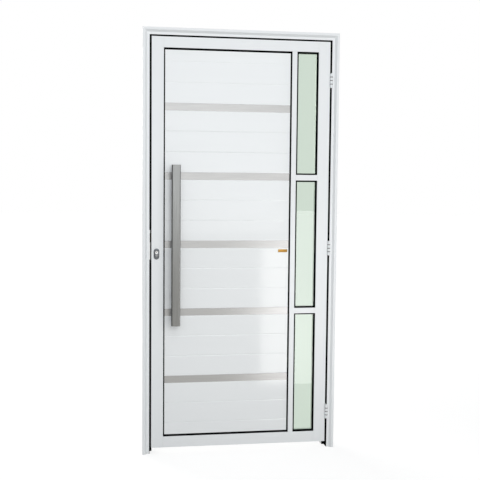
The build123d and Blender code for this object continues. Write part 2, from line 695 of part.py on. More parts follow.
def hinge_pin(bottom):
    """Pin with a flat head above and below the knuckles."""
    pin = hinge_tube(PIN_RADIUS, bottom - HINGE_RUN, HINGE_LENGTH + 2 * HINGE_RUN)
    pin += hinge_tube(PIN_HEAD_RADIUS, bottom - HINGE_RUN - PIN_HEAD_HEIGHT, PIN_HEAD_HEIGHT)
    pin += hinge_tube(PIN_HEAD_RADIUS, bottom + HINGE_LENGTH + HINGE_RUN, PIN_HEAD_HEIGHT)
    return pin


def hinge_washers(bottom):
    """Washers between the knuckles of one hinge."""
    pitch = knuckle_height() + WASHER_THICKNESS + 2 * HINGE_RUN
    rings = []
    for number in range(1, KNUCKLE_COUNT):
        base = bottom + number * pitch - WASHER_THICKNESS - HINGE_RUN
        ring = hinge_tube(KNUCKLE_RADIUS, base, WASHER_THICKNESS)
        rings.append(ring - hinge_tube(PIN_RADIUS + PIN_CLEARANCE, base, WASHER_THICKNESS))
    return rings


def hinge_parts():
    """Three hinges: a plate on the jamb, a plate on the leaf, a pin and its washers each."""
    made = {}
    pins = []
    washers = []
    for place, middle in HINGE_HEIGHTS.items():
        bottom = middle - HINGE_LENGTH / 2
        made[f"{place}_hinge_jamb_plate"] = hinge_leaf(bottom, 1, -JAMB_FACE - HINGE_PLATE, -JAMB_FACE)
        made[f"{place}_hinge_leaf_plate"] = hinge_leaf(bottom, 0, LEAF_RIGHT, LEAF_RIGHT + HINGE_PLATE)
        pins.append(hinge_pin(bottom))
        washers += hinge_washers(bottom)
    made["hinge_pins"] = Compound(pins)
    made["hinge_washers"] = Compound(washers)
    return made


def door():
    """Every node of the door by name, with depths counted from the leaf's front face."""
    nodes = {}
    nodes.update(frame_members())
    nodes.update(frame_trims())
    nodes["frame_seals"] = frame_seals()
    nodes["strike_plate"] = strike_plate()
    nodes.update(stiles())
    nodes.update(rails())
    nodes["mullion"] = mullion()
    nodes["transoms"] = transoms()
    nodes.update(panel_parts())
    nodes.update(glazing_parts())
    nodes.update(pull_parts())
    nodes.update(lock_parts())
    nodes.update(hinge_parts())
    return nodes


os.makedirs("parts", exist_ok=True)
for node, shape in door().items():
    export_step(Pos(0, FRONT_Y, 0) * shape, f"parts/{node}.step")
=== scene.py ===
"""Looks of a white aluminium entrance door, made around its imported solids.

The file is laid out as an add-on: property groups hold the sizes and colours, an operator makes or
finishes each group of like pieces, and a sidebar panel lists them. Metres, in the frame of the solids:
+X points into the wall on the hinge side, -Y is the side that the leaf opens to, +Z is up.
"""

from math import cos, pi, radians, sin

import bmesh
import bpy
from mathutils import Matrix, Vector


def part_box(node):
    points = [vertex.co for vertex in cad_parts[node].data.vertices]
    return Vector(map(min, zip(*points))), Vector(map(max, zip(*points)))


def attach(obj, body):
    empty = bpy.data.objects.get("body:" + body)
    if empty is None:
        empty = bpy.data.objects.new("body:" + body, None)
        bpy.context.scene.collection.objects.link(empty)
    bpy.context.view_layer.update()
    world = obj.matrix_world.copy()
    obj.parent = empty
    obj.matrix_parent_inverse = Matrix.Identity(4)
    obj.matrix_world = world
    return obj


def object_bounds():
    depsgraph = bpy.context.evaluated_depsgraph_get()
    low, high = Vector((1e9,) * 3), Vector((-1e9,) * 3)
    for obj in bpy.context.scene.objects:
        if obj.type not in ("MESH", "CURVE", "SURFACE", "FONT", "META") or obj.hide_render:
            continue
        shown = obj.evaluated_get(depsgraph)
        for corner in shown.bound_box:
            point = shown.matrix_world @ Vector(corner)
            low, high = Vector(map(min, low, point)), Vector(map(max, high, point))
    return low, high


bl_info = {
    "name": "Aluminium Entrance Door",
    "version": (1, 0, 0),
    "blender": (4, 5, 0),
    "location": "View3D > Sidebar > Door",
    "description": "Finishes, small fittings and studio of a white aluminium entrance door",
    "category": "Object",
}

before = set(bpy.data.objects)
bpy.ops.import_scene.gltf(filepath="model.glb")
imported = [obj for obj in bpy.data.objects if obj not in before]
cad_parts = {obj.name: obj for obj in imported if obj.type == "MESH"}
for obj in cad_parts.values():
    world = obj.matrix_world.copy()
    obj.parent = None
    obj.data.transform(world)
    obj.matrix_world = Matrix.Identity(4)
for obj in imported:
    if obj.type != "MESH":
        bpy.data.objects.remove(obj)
CAD_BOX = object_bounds()
MM = 0.001
FRONT = Vector((0, -1, 0))
BACK = Vector((0, 1, 0))
LEFT = Vector((-1, 0, 0))
RIGHT = Vector((1, 0, 0))
DOWN = Vector((0, 0, -1))
UP = Vector((0, 0, 1))

# Slack in picking edges by their place
SLACK = 0.01 * MM
# Gap under which doubles are merged
WELD = 0.001 * MM
# Cosine above which a face counts as looking a given way
SAME_WAY = 0.99
# Sharpest edge that is still shaded smooth
SMOOTH_ANGLE = radians(35)

# Nodes by finish
FRAME_PROFILES = (
    "lock_jamb",
    "hinge_jamb",
    "frame_head",
    "lock_side_trim",
    "hinge_side_trim",
    "head_trim",
    "frame_stops",
)
LEAF_PROFILES = (
    "lock_stile",
    "hinge_stile",
    "top_rail",
    "bottom_rail",
    "mullion",
    "transoms",
    "glazing_beads",
)
HINGES = ("top", "middle", "bottom")
HINGE_IRON = [f"{place}_hinge_{side}_plate" for place in HINGES for side in ("jamb", "leaf")] + ["hinge_pins"]
BOARDS = [f"boards_{number}" for number in range(1, 7)]
BANDS = [f"band_{number}" for number in range(1, 6)]
PANES = ("glass_pane_bottom", "glass_pane_middle", "glass_pane_top")
PULL_BAR = ("pull_bar", "pull_bar_posts", "pull_bar_caps")

# Roughness of the finishes, from 0 for a mirror to 1 for chalk
ROUGHNESS = {
    "frame": 0.36,
    "leaf": 0.33,
    "boards": 0.1,
    "hinges": 0.34,
    "caps": 0.42,
    "bands": 0.36,
    "steel": 0.33,
    "gilt": 0.3,
    "nickel": 0.16,
    "bright_nickel": 0.12,
    "polished_nickel": 0.1,
    "keyway_shade": 0.5,
    "zinc": 0.38,
    "screws": 0.34,
    "rubber": 0.6,
    "nylon": 0.5,
    "roller": 0.4,
}

# Millimetres across, through and up over which a coat drifts in tone
EVEN_DRIFT = (420, 420, 420)
BOARD_DRIFT = (700, 700, 60)

# Millimetres across, through and up that a brush streak, or a wave in drawn glass, takes up
BAND_BRUSH = (110, 3, 1.5)
BAR_BRUSH = (1.5, 1.5, 140)
PLATE_BRUSH = (40, 3, 1.5)
GLASS_WAVE = (400, 400, 160)

# Range that holds most values of a noise texture
NOISE_SPAN = {"From Min": 0.3, "From Max": 0.7}

# Sockets of a Mix node that mixes colours
COLOUR_A = 6
COLOUR_B = 7
COLOUR_OUT = 2


# Settings


def linear(hex_colour):
    """sRGB hex colour as linear red, green, blue and alpha."""
    channels = [int(hex_colour[place : place + 2], 16) / 255 for place in (1, 3, 5)]
    return tuple(c / 12.92 if c <= 0.04045 else ((c + 0.055) / 1.055) ** 2.4 for c in channels) + (1.0,)


def per_metre(millimetres):
    """Pattern scale whose features are this many millimetres apart."""
    return 1 / (millimetres * MM)


def colour(hex_colour, name, description):
    """Colour setting of a finish."""
    return bpy.props.FloatVectorProperty(
        name=name, description=description, size=4, subtype="COLOR", min=0, max=1, default=linear(hex_colour)
    )


def size(millimetres, name, description):
    """Length setting of a piece."""
    return bpy.props.FloatProperty(
        name=name, description=description, default=millimetres * MM, min=0, precision=4, unit="LENGTH"
    )


def turn(degrees, name, description):
    """Angle setting of the camera."""
    return bpy.props.FloatProperty(
        name=name, description=description, default=radians(degrees), subtype="ANGLE"
    )


def watts(power, name, description):
    """Power setting of a light."""
    return bpy.props.FloatProperty(name=name, description=description, default=power, min=0, unit="POWER")


def level(strength, name, description):
    """Setting of an even light, where 1 shows as white."""
    return bpy.props.FloatProperty(name=name, description=description, default=strength, min=0)


class DoorFinishes(bpy.types.PropertyGroup):
    """Colours of the finishes."""

    coat: colour("#E9ECED", "Coat", "White powder coat of frame and leaf")
    coat_drift: colour("#E5E8EA", "Coat drift", "Slightly cooler tone that the coat drifts to")
    boards: colour("#EBEEEF", "Boards", "White coat of the panel's boards")
    boards_drift: colour("#E8EBEC", "Boards drift", "Slightly cooler tone that the boards drift to")
    bands: colour("#A0A1A1", "Bands", "Brushed anodised aluminium of the bands")
    bands_streak: colour("#98999A", "Band streaks", "Darker brush streaks of the bands")
    steel: colour("#858787", "Pull bar", "Brushed stainless steel of the pull bar")
    steel_streak: colour("#747676", "Pull bar streaks", "Darker brush streaks of the pull bar")
    # Painted light: escutcheons, cylinder and plugs are one nickel plate, darkened on the escutcheons as
    # painted shade and lightened on the cylinder and plugs as painted highlight.
    nickel: colour("#6C7076", "Escutcheons", "Dark nickel plate of the escutcheons")
    bright_nickel: colour("#A0A4A9", "Cylinder", "Bright nickel plate of the cylinder")
    polished_nickel: colour("#E6E8EA", "Key plugs", "Polished nickel plate of the key plugs")
    # Painted shade: the near-black block at the foot of the keyway stands in for the slot's shade.
    keyway_shade: colour("#1C1B1A", "Keyway", "Oil-dark steel inside the keyway")
    zinc: colour("#CFD0D1", "Edge plates", "Zinc plate of the faceplate, the strike plate and the screws")
    glass: colour("#CDDBCE", "Glass", "Pale green of the float glass")
    rubber: colour("#060607", "Rubber", "Black rubber of the gaskets and seals")
    nylon: colour("#0C0C0E", "Washers", "Black nylon of the hinge washers")
    roller: colour("#4A2A22", "Roller", "Reddish brown nylon of the latch roller")
    gilt: colour("#8E6D36", "Plate", "Gold anodised aluminium of the bare plate")


class DoorFittings(bpy.types.PropertyGroup):
    """Sizes of the small fittings."""

    hinge_plate: size(2.5, "Hinge plate", "Thickness of a hinge plate")
    hinge_screw_row: size(23, "Hinge screw row", "Rise of the outer screws from the middle one")
    hinge_screw_front: size(12, "Front hinge screws", "Depth of the outer screws behind the leaf's face")
    hinge_screw_back: size(25, "Back hinge screw", "Depth of the middle screw behind the leaf's face")
    screw_head: size(3.6, "Screw head", "Radius of a countersunk screw head")
    screw_proud: size(0.4, "Screw stand", "How far a screw head stands proud")
    screw_sink: size(1.4, "Screw sink", "How deep a screw head is sunk")
    screw_recess: size(0.7, "Screw recess", "Depth of the cross recess in a screw head")
    edge_screw_inset: size(9, "Edge screw inset", "Distance of a screw from the end of the faceplate")
    strike_thickness: size(2, "Strike plate", "Thickness of the strike plate's flat")
    plug_radius: size(6.2, "Key plug", "Radius of the key plug")
    plug_proud: size(1.6, "Key plug stand", "How far the key plug stands proud of the cylinder")
    keyway_width: size(2.6, "Keyway width", "Width of each half of the stepped keyway")
    keyway_length: size(4.6, "Keyway length", "Length of each half of the stepped keyway")
    keyway_step: size(0.5, "Keyway step", "How far each half of the keyway is set to one side")
    keyway_rise: size(0.5, "Keyway rise", "Height of the upper half's middle above the plug's centre")
    keyway_drop: size(3.6, "Keyway drop", "Drop from the middle of the upper half to that of the lower")
    stop_stand: size(15, "Stop stand", "How far a stop stands off its jamb")
    cap_inset: size(200, "Screw cap inset", "Distance of the end caps from the frame's ends")
    cap_spacing: size(500, "Head cap spacing", "Distance between the two caps of the head")
    cap_radius: size(5.5, "Screw cap", "Radius of a wall screw's cap")
    cap_proud: size(1.3, "Screw cap stand", "How far a wall screw's cap stands proud")
    plate_width: size(47, "Plate width", "Width of the bare plate")
    plate_height: size(14.5, "Plate height", "Height of the bare plate")
    plate_thickness: size(1.2, "Plate thickness", "Thickness of the bare plate at its edge")
    plate_corner: size(2.5, "Plate corner", "Corner radius of the bare plate")
    plate_side_gap: size(13, "Plate side gap", "Distance of the bare plate from the mullion")
    plate_drop: size(8, "Plate drop", "Distance of the bare plate below the middle band")


class DoorStudio(bpy.types.PropertyGroup):
    """Camera and light of the studio."""

    camera_place: bpy.props.FloatVectorProperty(
        name="Camera", description="Place of the lens", default=(-1.163, -4.297, 1.375), unit="LENGTH"
    )
    camera_yaw: turn(9.11, "Yaw", "Turn of the view towards the hinges")
    camera_pitch: turn(-4.02, "Pitch", "Tilt of the view above the level")
    camera_roll: turn(0.51, "Roll", "Lean of the camera")
    lens: bpy.props.FloatProperty(
        name="Lens", description="Focal length for a 36 mm sensor", default=64.785, unit="CAMERA"
    )
    room_level: level(0.4, "Room light", "Level of the light from all round")
    room_tone: colour("#F4F8FF", "Room", "Tone of the light from all round")
    front_power: watts(23.5, "Front light", "Power of the large soft light in front")
    key_power: watts(19, "Key light", "Power of the soft light from the hinge side")
    top_power: watts(16.5, "Top light", "Power of the soft light high in front")
    back_power: watts(115, "Back light", "Power of the soft light on the inner side")
    pane_power: watts(2.6, "Pane light", "Power of the tall light that the glass reflects")
    board_power: watts(2.15, "Board light", "Power of the tall light that the boards reflect")
    low_power: watts(4.2, "Low light", "Power of the low light near the hinges")
    fill_power: watts(34, "Fill light", "Power of the soft light over the camera")
    floor_tone: colour("#ABABAA", "Floor", "Tone of the floor that lights the object from below")
    floor_shown: colour("#949493", "Floor shadow", "Tone of the floor's matt part, which takes the shadow")
    floor_mirrored: colour("#F4EEE4", "Floor mirrored", "Tint of the floor's glow in metal and glass")
    floor_near: level(0.775, "Near floor", "Glow that shows the lit floor near the door as white")
    floor_far: level(0.905, "Far floor", "Glow that shows the dimmer floor far from the door as white")
    card_tone: colour("#2A2A2C", "Card", "Tone of the dark card that polished metal mirrors")


# Nodes and materials


def add_node(tree, kind, settings=(), links=()):
    """Adds a node, sets its properties and input values, and links its inputs."""
    node = tree.nodes.new(kind)
    for key, value in dict(settings).items():
        if isinstance(key, str) and hasattr(node, key):
            setattr(node, key, value)
        else:
            node.inputs[key].default_value = value
    for key, socket in dict(links).items():
        tree.links.new(socket, node.inputs[key])
    return node


def new_material(name):
    """Empty node material and its Object coordinates."""
    material = bpy.data.materials.new(name)
    material.use_nodes = True
    tree = material.node_tree
    tree.nodes.clear()
    return material, tree, add_node(tree, "ShaderNodeTexCoord").outputs["Object"]


def satin_coat(name, tone, drift, roughness, run):
    """Polyester powder coat, or a moulded white like it, whose tone drifts over a run of millimetres."""
    # The eye gets an even, slightly cool white with blurred highlights, a faint orange peel and patches
    # that handling has polished. Real peel is about 2 mm across, and is drawn at 6 mm so that it shows.
    peel = 6
    peel_depth = 0.06 * MM
    handling = 90
    material, tree, place = new_material(name)
    drawn = add_node(tree, "ShaderNodeMapping", {"Scale": [per_metre(gap) for gap in run]}, {"Vector": place})
    slow = add_node(tree, "ShaderNodeTexNoise", {"Scale": 1.0, "Detail": 2.0}, {"Vector": drawn.outputs[0]})
    mixed = add_node(
        tree,
        "ShaderNodeMix",
        {"data_type": "RGBA", COLOUR_A: tone, COLOUR_B: drift},
        {0: slow.outputs["Fac"]},
    )
    handled = add_node(
        tree, "ShaderNodeTexNoise", {"Scale": per_metre(handling), "Detail": 4.0}, {"Vector": place}
    )
    sheen = add_node(
        tree,
        "ShaderNodeMapRange",
        {**NOISE_SPAN, "To Min": roughness - 0.015, "To Max": roughness + 0.02},
        {"Value": handled.outputs["Fac"]},
    )
    skin = add_node(tree, "ShaderNodeTexNoise", {"Scale": per_metre(peel), "Detail": 1.0}, {"Vector": place})
    raised = add_node(
        tree, "ShaderNodeBump", {"Strength": 0.25, "Distance": peel_depth}, {"Height": skin.outputs["Fac"]}
    )
    surface = add_node(
        tree,
        "ShaderNodeBsdfPrincipled",
        {"IOR": 1.5},
        {
            "Base Color": mixed.outputs[COLOUR_OUT],
            "Roughness": sheen.outputs["Result"],
            "Normal": raised.outputs["Normal"],
        },
    )
    add_node(tree, "ShaderNodeOutputMaterial", (), {"Surface": surface.outputs["BSDF"]})
    return material


def brushed_metal(name, tone, streak, brush, roughness, tangent_axis):
    """Metal brushed along one axis, with streaks that take up the brush's millimetres each way."""
    # The eye gets fine parallel streaks, and highlights drawn out across them. Real brush lines are about
    # 0.3 mm apart, and are drawn at 1.5 mm or more so that they show.
    line_depth = 0.03 * MM
    material, tree, place = new_material(name)
    stretched = add_node(
        tree, "ShaderNodeMapping", {"Scale": [per_metre(gap) for gap in brush]}, {"Vector": place}
    )
    lines = add_node(
        tree,
        "ShaderNodeTexNoise",
        {"Scale": 1.0, "Detail": 5.0, "Roughness": 0.6},
        {"Vector": stretched.outputs[0]},
    )
    spread = add_node(
        tree, "ShaderNodeMapRange", {"From Min": 0.32, "From Max": 0.68}, {"Value": lines.outputs["Fac"]}
    )
    mixed = add_node(
        tree,
        "ShaderNodeMix",
        {"data_type": "RGBA", COLOUR_A: streak, COLOUR_B: tone},
        {0: spread.outputs["Result"]},
    )
    sheen = add_node(
        tree,
        "ShaderNodeMapRange",
        {**NOISE_SPAN, "To Min": roughness + 0.06, "To Max": roughness - 0.04},
        {"Value": lines.outputs["Fac"]},
    )
    scratch = add_node(
        tree, "ShaderNodeBump", {"Strength": 0.2, "Distance": line_depth}, {"Height": lines.outputs["Fac"]}
    )
    along = add_node(tree, "ShaderNodeTangent", {"direction_type": "RADIAL", "axis": tangent_axis})
    surface = add_node(
        tree,
        "ShaderNodeBsdfPrincipled",
        {"Metallic": 1.0, "Anisotropic": 0.6},
        {
            "Base Color": mixed.outputs[COLOUR_OUT],
            "Roughness": sheen.outputs["Result"],
            "Normal": scratch.outputs["Normal"],
            "Tangent": along.outputs["Tangent"],
        },
    )
    add_node(tree, "ShaderNodeOutputMaterial", (), {"Surface": surface.outputs["BSDF"]})
    return material


def plated_metal(name, tone, roughness, cloud_size):
    """Plated metal, with clouds in the plating of a size in millimetres."""
    # The eye gets an even bright skin, a faint cloud in its tone and small spots that are rubbed dull.
    material, tree, place = new_material(name)
    cloud = add_node(
        tree, "ShaderNodeTexNoise", {"Scale": per_metre(cloud_size), "Detail": 4.0}, {"Vector": place}
    )
    dulled = [0.8 * channel for channel in tone[:3]] + [1.0]
    mixed = add_node(
        tree,
        "ShaderNodeMix",
        {"data_type": "RGBA", COLOUR_A: dulled, COLOUR_B: tone},
        {0: cloud.outputs["Fac"]},
    )
    sheen = add_node(
        tree,
        "ShaderNodeMapRange",
        {**NOISE_SPAN, "To Min": roughness - 0.05, "To Max": roughness + 0.08},
        {"Value": cloud.outputs["Fac"]},
    )
    surface = add_node(
        tree,
        "ShaderNodeBsdfPrincipled",
        {"Metallic": 1.0},
        {"Base Color": mixed.outputs[COLOUR_OUT], "Roughness": sheen.outputs["Result"]},
    )
    add_node(tree, "ShaderNodeOutputMaterial", (), {"Surface": surface.outputs["BSDF"]})
    return material


def dull_polymer(name, tone, roughness, grain, shine):
    """Extruded rubber or moulded nylon, with a grain of a size in millimetres."""
    # The eye gets a dark, dull skin with a fine grain and a trace of dust. Real grain is under 1 mm, and is
    # drawn at 3 to 5 mm so that it shows.
    grain_depth = 0.08 * MM
    material, tree, place = new_material(name)
    skin = add_node(tree, "ShaderNodeTexNoise", {"Scale": per_metre(grain), "Detail": 3.0}, {"Vector": place})
    dusty = [1.5 * channel + 0.001 for channel in tone[:3]] + [1.0]
    mixed = add_node(
        tree,
        "ShaderNodeMix",
        {"data_type": "RGBA", COLOUR_A: tone, COLOUR_B: dusty},
        {0: skin.outputs["Fac"]},
    )
    sheen = add_node(
        tree,
        "ShaderNodeMapRange",
        {**NOISE_SPAN, "To Min": roughness - 0.06, "To Max": roughness + 0.06},
        {"Value": skin.outputs["Fac"]},
    )
    raised = add_node(
        tree, "ShaderNodeBump", {"Strength": 0.3, "Distance": grain_depth}, {"Height": skin.outputs["Fac"]}
    )
    surface = add_node(
        tree,
        "ShaderNodeBsdfPrincipled",
        {"IOR": 1.5, "Specular IOR Level": shine},
        {
            "Base Color": mixed.outputs[COLOUR_OUT],
            "Roughness": sheen.outputs["Result"],
            "Normal": raised.outputs["Normal"],
        },
    )
    add_node(tree, "ShaderNodeOutputMaterial", (), {"Surface": surface.outputs["BSDF"]})
    return material


def green_float_glass(name, tone):
    """Float glass with iron in it."""
    # The eye gets a clear pale green, with reflections that waver along the draw and a thin wiped film.
    wave_depth = 0.08 * MM
    wiping = 70
    material, tree, place = new_material(name)
    drawn = add_node(
        tree, "ShaderNodeMapping", {"Scale": [per_metre(gap) for gap in GLASS_WAVE]}, {"Vector": place}
    )
    wave = add_node(tree, "ShaderNodeTexNoise", {"Scale": 1.0, "Detail": 1.0}, {"Vector": drawn.outputs[0]})
    raised = add_node(
        tree, "ShaderNodeBump", {"Strength": 0.2, "Distance": wave_depth}, {"Height": wave.outputs["Fac"]}
    )
    wiped = add_node(
        tree, "ShaderNodeTexNoise", {"Scale": per_metre(wiping), "Detail": 3.0}, {"Vector": place}
    )
    film = add_node(
        tree,
        "ShaderNodeMapRange",
        {"From Min": 0.35, "From Max": 0.75, "To Min": 0.0, "To Max": 0.03},
        {"Value": wiped.outputs["Fac"]},
    )
    surface = add_node(
        tree,
        "ShaderNodeBsdfPrincipled",
        {"Base Color": tone, "Transmission Weight": 1.0, "IOR": 1.52},
        {"Roughness": film.outputs["Result"], "Normal": raised.outputs["Normal"]},
    )
    add_node(tree, "ShaderNodeOutputMaterial", (), {"Surface": surface.outputs["BSDF"]})
    return material


def dress(material, nodes):
    """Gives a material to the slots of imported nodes."""
    for node in nodes:
        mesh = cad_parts[node].data
        mesh.materials.clear()
        mesh.materials.append(material)


# Modelling


def edit(piece):
    """Opens a piece in edit mode with nothing of it selected."""
    bpy.ops.object.select_all(action="DESELECT")
    piece.select_set(True)
    bpy.context.view_layer.objects.active = piece
    bpy.ops.object.mode_set(mode="EDIT")
    bpy.ops.mesh.select_all(action="DESELECT")


def pick_faces(piece, direction):
    """Selects the faces that look one way."""
    bpy.ops.mesh.select_mode(type="FACE")
    bpy.ops.mesh.select_all(action="DESELECT")
    mesh = bmesh.from_edit_mesh(piece.data)
    for face in mesh.faces:
        face.select_set(face.normal.dot(direction) > SAME_WAY)
    mesh.select_flush(True)
    bmesh.update_edit_mesh(piece.data)


def pick_edges(piece, test):
    """Selects the edges whose two ends pass a test."""
    bpy.ops.mesh.select_mode(type="EDGE")
    bpy.ops.mesh.select_all(action="DESELECT")
    mesh = bmesh.from_edit_mesh(piece.data)
    for edge in mesh.edges:
        start, end = (corner.co for corner in edge.verts)
        edge.select_set(test(start, end))
    bmesh.update_edit_mesh(piece.data)


def close_edit():
    """Merges doubles, turns normals outwards and leaves edit mode with smooth round sides."""
    bpy.ops.mesh.select_all(action="SELECT")
    bpy.ops.mesh.remove_doubles(threshold=WELD)
    bpy.ops.mesh.normals_make_consistent(inside=False)
    bpy.ops.object.mode_set(mode="OBJECT")
    bpy.ops.object.shade_smooth_by_angle(angle=SMOOTH_ANGLE)


def disc(name, radius, proud, buried, sides=32):
    """Round start of a small fitting: it looks up +Z, and its seat is the level z = 0."""
    bpy.ops.object.select_all(action="DESELECT")
    bpy.ops.mesh.primitive_cylinder_add(
        vertices=sides, radius=radius, depth=proud + buried, location=(0, 0, (proud - buried) / 2)
    )
    piece = bpy.context.active_object
    piece.name = name
    bpy.ops.object.transform_apply(location=True, rotation=True, scale=True)
    return piece


def button(name, radius, proud, buried, bevel, rim, dish, sides=32):
    """Disc with a bevel of a width and a count of segments round its top, and a dish inside a rim."""
    piece = disc(name, radius, proud, buried, sides)
    bevel_width, segments = bevel
    edit(piece)
    pick_edges(piece, lambda start, end: min(start.z, end.z) > proud - SLACK)
    bpy.ops.mesh.bevel(offset=bevel_width, segments=segments, affect="EDGES")
    pick_faces(piece, UP)
    bpy.ops.mesh.inset(thickness=rim)
    bpy.ops.transform.translate(value=(0, 0, -dish))
    close_edit()
    return piece


def block(name, centre, sides, spin=0.0):
    """Box start of a piece, with its place and turn in its mesh."""
    bpy.ops.object.select_all(action="DESELECT")
    bpy.ops.mesh.primitive_cube_add(size=1, location=centre, rotation=(0, 0, spin), scale=sides)
    piece = bpy.context.active_object
    piece.name = name
    piece.data.name = name
    bpy.ops.object.transform_apply(location=True, rotation=True, scale=True)
    return piece


def cutter(centre, sides, spin=0.0):
    """Block that cuts a slot, narrower at its foot."""
    foot = 0.8
    piece = block("cutter", centre, sides, spin)
    edit(piece)
    pick_faces(piece, DOWN)
    bpy.ops.transform.resize(value=(foot, foot, 1), center_override=centre)
    bpy.ops.object.mode_set(mode="OBJECT")
    return piece


def combine(piece, shapes, operation="DIFFERENCE"):
    """Cuts shapes out of a piece, or welds them to it, and removes them."""
    bpy.ops.object.select_all(action="DESELECT")
    bpy.context.view_layer.objects.active = piece
    piece.select_set(True)
    for shape in shapes:
        step = piece.modifiers.new("combine", "BOOLEAN")
        step.operation = operation
        step.solver = "EXACT"
        step.object = shape
        bpy.ops.object.modifier_apply(modifier=step.name)
    for shape in shapes:
        bpy.data.objects.remove(shape)


def facing(place, outward, upward=UP):
    """Matrix that sets a fitting on a seat, looking outward, with its +Y upward."""
    side = upward.cross(outward)
    axes = Matrix((side, upward, outward)).transposed()
    return Matrix.Translation(place) @ axes.to_4x4()


def set_copies(master, name, places, body, material):
    """Copies a master to its places as one named piece that rides on a body."""
    copies = []
    for place in places:
        copy = master.copy()
        copy.data = master.data.copy()
        bpy.context.collection.objects.link(copy)
        copy.matrix_world = place
        copies.append(copy)
    bpy.ops.object.select_all(action="DESELECT")
    for copy in copies:
        copy.select_set(True)
    piece = copies[0]
    bpy.context.view_layer.objects.active = piece
    bpy.ops.object.transform_apply(location=True, rotation=True, scale=True)
    bpy.ops.object.join()
    piece.name = name
    piece.data.name = name
    piece.data.materials.clear()
    piece.data.materials.append(material)
    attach(piece, body)


def countersunk_screw(fittings):
    """Countersunk screw head with a cross recess."""
    radius = fittings.screw_head
    proud = fittings.screw_proud
    sink = fittings.screw_sink
    foot = 0.55
    rim = 0.3 * radius
    dome = 0.15 * MM
    screw = disc("screw", radius, proud, sink)
    edit(screw)
    pick_faces(screw, DOWN)
    bpy.ops.transform.resize(value=(foot, foot, 1), center_override=(0, 0, -sink))
    pick_faces(screw, UP)
    bpy.ops.mesh.inset(thickness=rim)
    bpy.ops.transform.translate(value=(0, 0, dome))
    close_edit()
    blade = (0.3 * radius, 1.15 * radius, 2 * fittings.screw_recess)
    combine(screw, [cutter((0, 0, proud), blade, spin) for spin in (0, pi / 2)])
    return screw


# Pieces


class DOOR_OT_frame_profiles(bpy.types.Operator):
    """Finish the fixed frame's profiles, trims and stops in white powder coat."""

    bl_idname = "door.frame_profiles"
    bl_label = "Frame Profiles"

    def execute(self, context):
        finishes = context.scene.door_finishes
        tones = (finishes.coat, finishes.coat_drift)
        coat = satin_coat("frame_powder_coat_satin_white", *tones, ROUGHNESS["frame"], EVEN_DRIFT)
        dress(coat, FRAME_PROFILES)
        return {"FINISHED"}


class DOOR_OT_leaf_profiles(bpy.types.Operator):
    """Finish the leaf's stiles, rails, bars and beads in white powder coat."""

    bl_idname = "door.leaf_profiles"
    bl_label = "Leaf Profiles"

    def execute(self, context):
        finishes = context.scene.door_finishes
        tones = (finishes.coat, finishes.coat_drift)
        coat = satin_coat("leaf_powder_coat_satin_white", *tones, ROUGHNESS["leaf"], EVEN_DRIFT)
        dress(coat, LEAF_PROFILES)
        return {"FINISHED"}


class DOOR_OT_panel_boards(bpy.types.Operator):
    """Finish the panel's boards in a glossier white powder coat."""

    bl_idname = "door.panel_boards"
    bl_label = "Panel Boards"

    def execute(self, context):
        finishes = context.scene.door_finishes
        tones = (finishes.boards, finishes.boards_drift)
        # Glossier than the profiles, so the boards mirror the tall light with a clear edge.
        coat = satin_coat("board_powder_coat_gloss_white", *tones, ROUGHNESS["boards"], BOARD_DRIFT)
        dress(coat, BOARDS)
        return {"FINISHED"}


class DOOR_OT_panel_bands(bpy.types.Operator):
    """Finish the panel's bands as aluminium brushed along their length."""

    bl_idname = "door.panel_bands"
    bl_label = "Panel Bands"

    def execute(self, context):
        finishes = context.scene.door_finishes
        tones = (finishes.bands, finishes.bands_streak)
        metal = brushed_metal("anodised_aluminium_brushed", *tones, BAND_BRUSH, ROUGHNESS["bands"], "X")
        dress(metal, BANDS)
        return {"FINISHED"}


class DOOR_OT_glass_panes(bpy.types.Operator):
    """Finish the three panes as pale green float glass."""

    bl_idname = "door.glass_panes"
    bl_label = "Glass Panes"

    def execute(self, context):
        dress(green_float_glass("float_glass_pale_green", context.scene.door_finishes.glass), PANES)
        return {"FINISHED"}


class DOOR_OT_rubber_seals(bpy.types.Operator):
    """Finish the gaskets and frame seals as black rubber."""

    bl_idname = "door.rubber_seals"
    bl_label = "Rubber Seals"

    def execute(self, context):
        tone = context.scene.door_finishes.rubber
        # Without shine, so the gaps and joints stay black.
        rubber = dull_polymer("epdm_rubber_extruded_black", tone, ROUGHNESS["rubber"], grain=4, shine=0.0)
        dress(rubber, ("infill_gaskets", "frame_seals"))
        return {"FINISHED"}


class DOOR_OT_pull_bar(bpy.types.Operator):
    """Finish the pull bar, its posts and its caps as brushed stainless steel."""

    bl_idname = "door.pull_bar"
    bl_label = "Pull Bar"

    def execute(self, context):
        finishes = context.scene.door_finishes
        tones = (finishes.steel, finishes.steel_streak)
        metal = brushed_metal("stainless_steel_brushed", *tones, BAR_BRUSH, ROUGHNESS["steel"], "Z")
        dress(metal, PULL_BAR)
        return {"FINISHED"}


